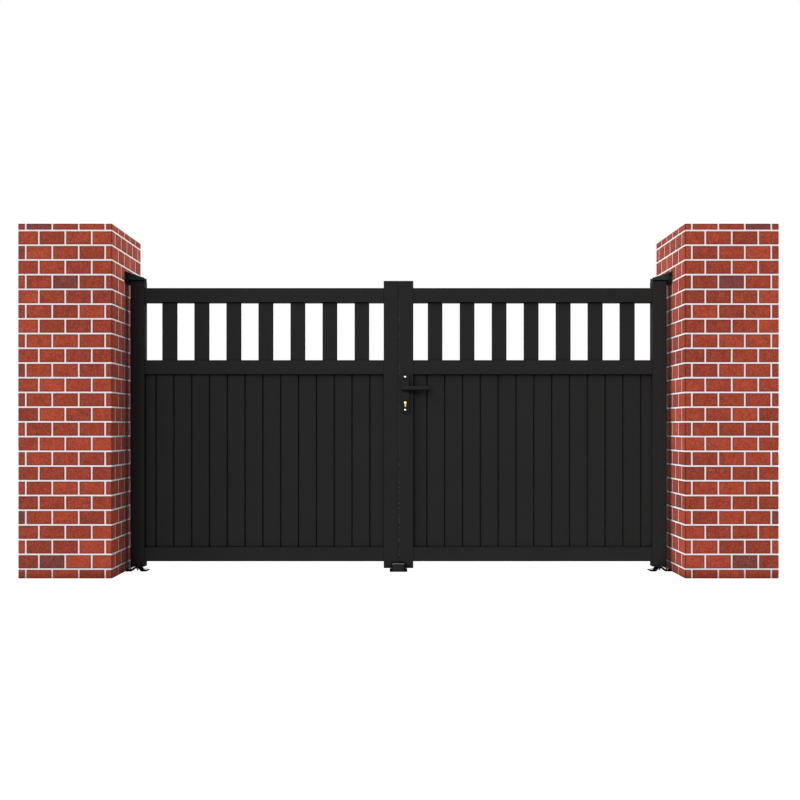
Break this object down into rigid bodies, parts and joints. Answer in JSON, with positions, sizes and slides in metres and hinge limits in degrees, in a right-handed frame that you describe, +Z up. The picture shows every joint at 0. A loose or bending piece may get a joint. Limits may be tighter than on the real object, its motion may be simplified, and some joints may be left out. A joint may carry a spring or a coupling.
{
  "type": "double-leaf aluminium driveway gate with brick pillars",
  "caption": "Double-leaf driveway gate, boarded below and slatted above, hung on brick pillars with a lever lock and a floor stop.",
  "frame": {"origin": "on the ground, in the middle of the opening and of the pillars' depth", "axes": "+X across the opening to the right, +Y into the property, the way the leaves open, +Z up"},
  "size_m": [4.05, 0.5, 1.89],
  "materials": {
    "brickwork": "matte",
    "powder_coat": "matte",
    "hinge_steel": "matte",
    "pin_steel": "satin",
    "brass": "satin",
    "lock_steel": "satin",
    "seal_rubber": "matte"
  },
  "bodies": {
    "root": {"left_pillar": "brickwork", "left_top_hinge_bracket": "hinge_steel", "left_top_hinge_pin": "pin_steel", "left_bottom_hinge_bracket": "hinge_steel", "left_bottom_hinge_pin": "pin_steel", "right_pillar": "brickwork", "right_top_hinge_bracket": "hinge_steel", "right_top_hinge_pin": "pin_steel", "right_bottom_hinge_bracket": "hinge_steel", "right_bottom_hinge_pin": "pin_steel", "floor_stop": "hinge_steel"},
    "left_leaf": {"left_hinge_stile": "powder_coat", "left_meeting_stile": "powder_coat", "left_top_rail": "powder_coat", "left_mid_rail": "powder_coat", "left_bottom_rail": "powder_coat", "left_slats": "powder_coat", "left_infill_boards": "powder_coat", "left_top_hinge_bush": "powder_coat", "left_bottom_hinge_bush": "powder_coat", "left_meeting_stile_caps": "powder_coat", "strike_plate": "lock_steel", "meeting_seal": "seal_rubber"},
    "right_leaf": {"right_hinge_stile": "powder_coat", "right_meeting_stile": "powder_coat", "right_top_rail": "powder_coat", "right_mid_rail": "powder_coat", "right_bottom_rail": "powder_coat", "right_slats": "powder_coat", "right_infill_boards": "powder_coat", "right_top_hinge_bush": "powder_coat", "right_bottom_hinge_bush": "powder_coat", "right_meeting_stile_caps": "powder_coat", "mortice_lock": "lock_steel", "lock_cylinder": "brass", "front_handle_plate": "powder_coat", "rear_handle_plate": "powder_coat"},
    "lever": {"front_lever": "powder_coat", "rear_lever": "powder_coat", "lever_spindle": "lock_steel"}
  },
  "joints": [
    {"name": "left_leaf_hinge", "type": "hinge", "parent": "root", "child": "left_leaf", "pos_m": [-1.466, 0, 0], "axis": [0, 0, 1], "range_deg": [0, 90]},
    {"name": "right_leaf_hinge", "type": "hinge", "parent": "root", "child": "right_leaf", "pos_m": [1.466, 0, 0], "axis": [0, 0, -1], "range_deg": [0, 90]},
    {"name": "lever_turn", "type": "hinge", "parent": "right_leaf", "child": "lever", "pos_m": [0.038, 0, 1.021], "axis": [0, 1, 0], "range_deg": [0, 45], "stiffness_Nm_per_rad": 1.5, "springref_deg": -28.65}
  ]
}
